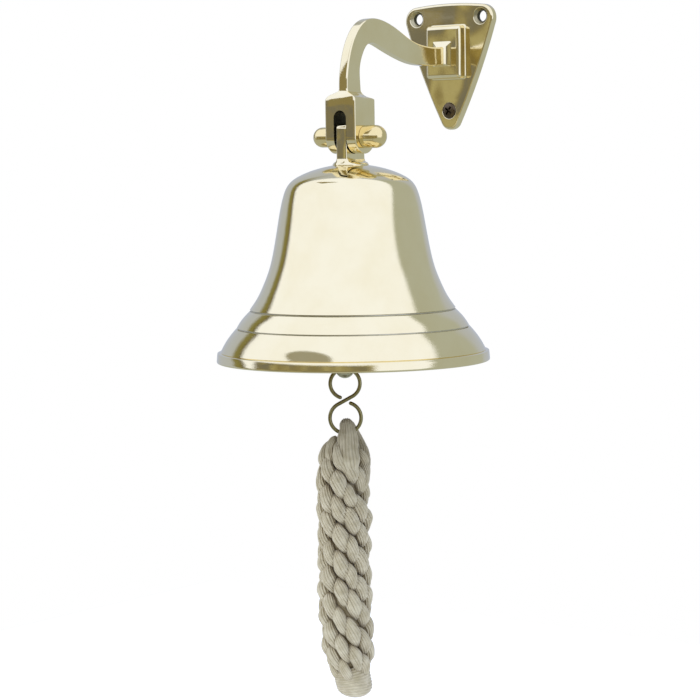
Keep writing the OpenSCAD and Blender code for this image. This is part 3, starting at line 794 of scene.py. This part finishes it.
def lobe(column, tier, rng, axis_at, radius_at):
    """One visible lobe of the plait: it comes out from under its neighbour, swells and tucks in again."""
    top = FIRST_LOBE - tier * TIER - column * LEAN + rng.uniform(-1.3, 1.3)
    length = LOBE_LENGTH + rng.uniform(-1.5, 1.5)
    middle = column * TAU / COLUMNS + FACING + rng.uniform(-0.08, 0.08)
    fat = rng.uniform(0.88, 1.10)
    centres, widths, outs = [], [], []
    for t in np.linspace(0, 1, 22):
        w = top - t * length
        full = radius_at(w)
        angle = middle + (t - 0.5) * LOBE_TURN + 0.10 * (2 * t - 1) ** 3
        swell = math.sin(math.pi * t ** 0.85) ** 0.7
        radius = full * (0.50 + 0.25 * swell)
        side, across = radius * np.array([math.cos(angle), math.sin(angle)]) + axis_at(w)
        centres.append(rope_point(side, across, w))
        half = full * (0.07 + 0.200 * swell) * fat
        widths.append((half, half * 0.98))
        outs.append(rope_point(math.cos(angle), math.sin(angle), 0) - rope_point(0, 0, 0))
    return strand("lobe", centres, widths, outs, rng)


def loop_strands(rng):
    """The strands that go over the hook's wire and close the top of the plait."""
    parts = []
    for rows in LOOP_STRANDS:
        path = smooth(rows, 5)
        centres = [rope_point(*row[:3]) for row in path]
        widths = [(row[3], row[4]) for row in path]
        outs = []
        for side, across, w in path[:, :3]:
            rise = max(w + 164, 0)
            outs.append(rope_point(0.25 * side, across, rise) - rope_point(0, 0, 0))
        parts.append(strand("loop", centres, widths, outs, rng, yarns=19, twist=0.08))
    return parts


def disc(side, r, w, count, tilt=0.0):
    """A ring of points round the lanyard's middle line."""
    angles = np.arange(count) * TAU / count
    return [rope_point(side + r * math.cos(a), r * math.sin(a), w + tilt * r * math.cos(a))
            for a in angles]


def make_lanyard(materials):
    rng = np.random.default_rng(7)
    route = smooth(LANYARD_ROUTE, 6)

    def axis_at(w):
        return np.array([np.interp(-w, -route[:, 1], route[:, 0]), 0.0])

    def radius_at(w):
        return ROPE_R * float(np.interp(-w, [166, 172, 180, 190, 278, 286, 293, 299, 304, 309],
                                        [0.74, 0.86, 0.96, 1.0, 1.0, 0.95, 0.86, 0.74, 0.62, 0.5]))

    parts = []
    for column in range(COLUMNS):
        for tier in range(-5, 12):
            top = FIRST_LOBE - tier * TIER - column * LEAN
            if top - LOBE_LENGTH / 2 < -175 and top - LOBE_LENGTH > ROPE_END + 3:
                parts.append(lobe(column, tier, rng, axis_at, radius_at))
    # core that closes the gaps between the lobes
    rings = []
    for w in np.linspace(CORE_TOP, ROPE_END + 8, 40):
        rings.append(disc(axis_at(w)[0], radius_at(w) * min(0.60, 0.2 + (CORE_TOP - w) * 0.08), w, 24))
    parts.append(skin("core", rings, sharp=70))
    # the whipped end, wound round with yarn
    rings = []
    for t in np.linspace(0, 1, 90):
        w = ROPE_END + WHIPPING * (1 - t)
        round_off = math.sqrt(max(1 - max((t - 0.60) / 0.40, 0) ** 2.3, 0.0004))
        r = ROPE_R * 0.64 * round_off * (0.90 + 0.10 * min(1, t * 3))
        r += 0.22 * math.cos(t * WHIPPING / YARN_PITCH * TAU) * min(1, 4 * (1 - t))
        rings.append(disc(axis_at(w)[0], max(r, 0.05), w, 56, tilt=0.30 * (1 - t)))
    parts.append(skin("end", rings, sharp=80))
    plait = join("lanyard_visual", parts + loop_strands(rng))
    face_outwards(plait, merge=False)
    mount(plait, "lanyard", materials["cotton"], "cotton", "bell_rope", "rope_eye")


# ---- Inner pieces ----

def dress_cad_nodes(materials):
    """The small turned and bent pieces inside the bell keep their CAD shapes."""
    for node, material in [("crown_washer", "inside"), ("clapper_yoke", "inside"), ("lock_washer", "steel"),
                           ("yoke_nut", "inside"), ("clapper_pin", "turned"), ("cotter_pin", "steel"),
                           ("arm_screw", "inside")]:
        data = frame["nodes"][node].data
        data.materials.clear()
        data.materials.append(materials[material])


# ---- Surroundings ----

PAPER_WHITE = (1.04, 1.12, 1.42)
WALL_GREY = (0.46, 0.50, 0.50)
WALL_SILVER = (0.49, 0.54, 0.67)
ROOM_BROWN = (0.27, 0.235, 0.12)
CARD_GREY = (0.37, 0.37, 0.34)
FLOOR_Z = -0.75
FLOOR_SIZE = 3.2


def world_light():
    """White paper in front of the bell, a grey wall behind it, and a brown room seen low down in front."""
    world = bpy.data.worlds.new("studio")
    bpy.context.scene.world = world
    world.use_nodes = True
    nodes, links = world.node_tree.nodes, world.node_tree.links
    nodes.clear()

    def math_node(op, a, b=None, c=None):
        node = nodes.new("ShaderNodeMath")
        node.operation = op
        for socket, value in zip(node.inputs, (a, b, c)):
            if value is None:
                continue
            if hasattr(value, "is_linked"):
                links.new(value, socket)
            else:
                socket.default_value = value
        return node.outputs[0]

    def step(value, low, high):
        """Goes smoothly from 0 at low to 1 at high, or the other way when low is the larger."""
        node = nodes.new("ShaderNodeMapRange")
        node.interpolation_type = "SMOOTHSTEP"
        node.inputs["From Min"].default_value = low
        node.inputs["From Max"].default_value = high
        links.new(value, node.inputs["Value"])
        return node.outputs["Result"]

    def paint(under, colour, mask):
        node = nodes.new("ShaderNodeMix")
        node.data_type = "RGBA"
        links.new(mask, node.inputs["Factor"])
        if hasattr(under, "is_linked"):
            links.new(under, node.inputs["A"])
        else:
            node.inputs["A"].default_value = (*under, 1)
        if hasattr(colour, "is_linked"):
            links.new(colour, node.inputs["B"])
        else:
            node.inputs["B"].default_value = (*colour, 1)
        return node.outputs["Result"]

    place = nodes.new("ShaderNodeTexCoord")
    split = nodes.new("ShaderNodeSeparateXYZ")
    links.new(place.outputs["Generated"], split.inputs[0])
    x, y, z = split.outputs
    # 0 towards -Y, positive to the right
    azimuth = math_node("ARCTAN2", x, math_node("MULTIPLY", y, -1.0))
    # the paper hangs as two sheets, each with its back edge further back the higher it is
    right_edge = math_node("ADD", math_node("MULTIPLY_ADD", x, 0.5, -0.401), math_node("MULTIPLY", z, 0.95))
    right_edge = math_node("ADD", right_edge, math_node("MULTIPLY", step(z, 0.16, 0.12), 0.16))
    left_edge = math_node("MULTIPLY_ADD", z, 0.85, -0.43)
    behind = math_node("SUBTRACT", y, math_node("MAXIMUM", left_edge, right_edge))
    wall = step(behind, -0.015, 0.015)
    at_left = step(x, -0.35, -0.5)
    left_strip = math_node("MULTIPLY", math_node("MULTIPLY", wall, step(behind, 0.33, 0.25)),
                           math_node("MULTIPLY", at_left, step(z, 0.75, 0.6)))
    left_line = math_node("MULTIPLY", left_strip, step(behind, 0.08, 0.05))
    room = math_node("MULTIPLY",
                     math_node("MULTIPLY", step(azimuth, math.radians(-54), math.radians(-51)),
                               step(azimuth, math.radians(57), math.radians(53))),
                     math_node("MULTIPLY", step(z, -0.38, -0.34), step(z, 0.175, 0.15)))
    floor = step(z, -0.14, -0.20)
    patches = nodes.new("ShaderNodeTexNoise")
    patches.inputs["Scale"].default_value = 11.0
    patches.inputs["Detail"].default_value = 1.0
    links.new(place.outputs["Generated"], patches.inputs["Vector"])
    brown = paint(ROOM_BROWN, (0.19, 0.185, 0.16), step(patches.outputs["Fac"], 0.53, 0.60))
    brown = paint(brown, (0.45, 0.42, 0.24), step(patches.outputs["Fac"], 0.44, 0.38))

    colour = paint(PAPER_WHITE, WALL_GREY, wall)
    colour = paint(colour, WALL_SILVER, math_node("MULTIPLY", wall, step(x, 0.12, -0.08)))
    colour = paint(colour, (0.24, 0.225, 0.09), left_strip)
    colour = paint(colour, (0.10, 0.08, 0.05), left_line)
    colour = paint(colour, WALL_GREY, floor)
    colour = paint(colour, brown, room)
    seen = nodes.new("ShaderNodeLightPath")
    colour = paint(colour, (1.0, 1.0, 1.0), seen.outputs["Is Camera Ray"])
    back = nodes.new("ShaderNodeBackground")
    links.new(colour, back.inputs["Color"])
    out = nodes.new("ShaderNodeOutputWorld")
    links.new(back.outputs[0], out.inputs["Surface"])


def make_floor():
    """A pale floor that the polished metal sees as the grey of the wall."""
    half = FLOOR_SIZE / 2
    floor = mesh_object("floor", [(-half, -half, FLOOR_Z), (half, -half, FLOOR_Z), (half, half, FLOOR_Z),
                                  (-half, half, FLOOR_Z)], [(0, 1, 2, 3)])
    material, nodes, links, shader = new_material("pale_floor")
    shader.inputs["Base Color"].default_value = (0.9, 0.9, 0.9, 1)
    shader.inputs["Roughness"].default_value = 0.9
    shader.inputs["Emission Color"].default_value = (1, 1, 1, 1)
    shader.inputs["Emission Strength"].default_value = 0.35
    seen = nodes.new("ShaderNodeLightPath")
    grey = nodes.new("ShaderNodeEmission")
    grey.inputs["Color"].default_value = (*WALL_GREY, 1)
    mix = nodes.new("ShaderNodeMixShader")
    links.new(seen.outputs["Is Glossy Ray"], mix.inputs["Fac"])
    links.new(shader.outputs["BSDF"], mix.inputs[1])
    links.new(grey.outputs["Emission"], mix.inputs[2])
    links.new(mix.outputs["Shader"], nodes["Material Output"].inputs["Surface"])
    floor.data.materials.append(material)


def reflector(name, points, colour):
    """A small card that shows only in the polished metal."""
    card = mesh_object(name, points, [tuple(range(len(points)))])
    material, nodes, links, _ = new_material(name)
    glow = nodes.new("ShaderNodeEmission")
    glow.inputs["Color"].default_value = (*colour, 1)
    links.new(glow.outputs["Emission"], nodes["Material Output"].inputs["Surface"])
    card.data.materials.append(material)
    card.visible_camera = False
    card.visible_shadow = False
    card.visible_diffuse = False


def make_reflectors():
    # in front of the bell, left of its middle: a dark oval just above the lip
    oval = arc(0, 0, 1, 0, 360, 40)[:-1]
    reflector("grey_card", [pin + Vector((16 + 31 * a, -105, -74 + 17 * b)) * MM for a, b in oval],
              CARD_GREY)
    # before the arm: a brown strip up the right of its front edge, pointed at the top
    strip = [[-4, 18], [-4, 28], [-2, 44], [-0.4, 64], [1.4, 88], [2.6, 112], [12, 112], [12, 18]]
    reflector("brown_card",
              [pin + Vector((-24.6 + 0.788 * s, -36 - 0.616 * s, w)) * MM for s, w in strip], ROOM_BROWN)


def make_lamp():
    """A large soft lamp, up in front on the left."""
    data = bpy.data.lights.new("soft_lamp", "AREA")
    data.shape = "DISK"
    data.size = 0.8
    data.energy = 9
    lamp = bpy.data.objects.new("soft_lamp", data)
    bpy.context.scene.collection.objects.link(lamp)
    place, target = Vector((-0.6, -1.3, 0.9)), Vector((0, -0.1, -0.2))
    turn = (target - place).to_track_quat("-Z", "Y").to_matrix().to_4x4()
    lamp.matrix_world = Matrix.Translation(place) @ turn
    lamp.visible_glossy = False
    lamp.visible_camera = False


make_camera()
materials = make_materials()
make_lanyard(materials)
make_plate(materials)
make_fixing_screw(materials)
make_arm(materials)
make_bolt(materials)
make_bell(materials)
make_lug(materials)
make_clapper(materials)
make_hook(materials)
dress_cad_nodes(materials)
world_light()
make_floor()
make_reflectors()
make_lamp()
bpy.context.scene.view_settings.view_transform = "Standard"
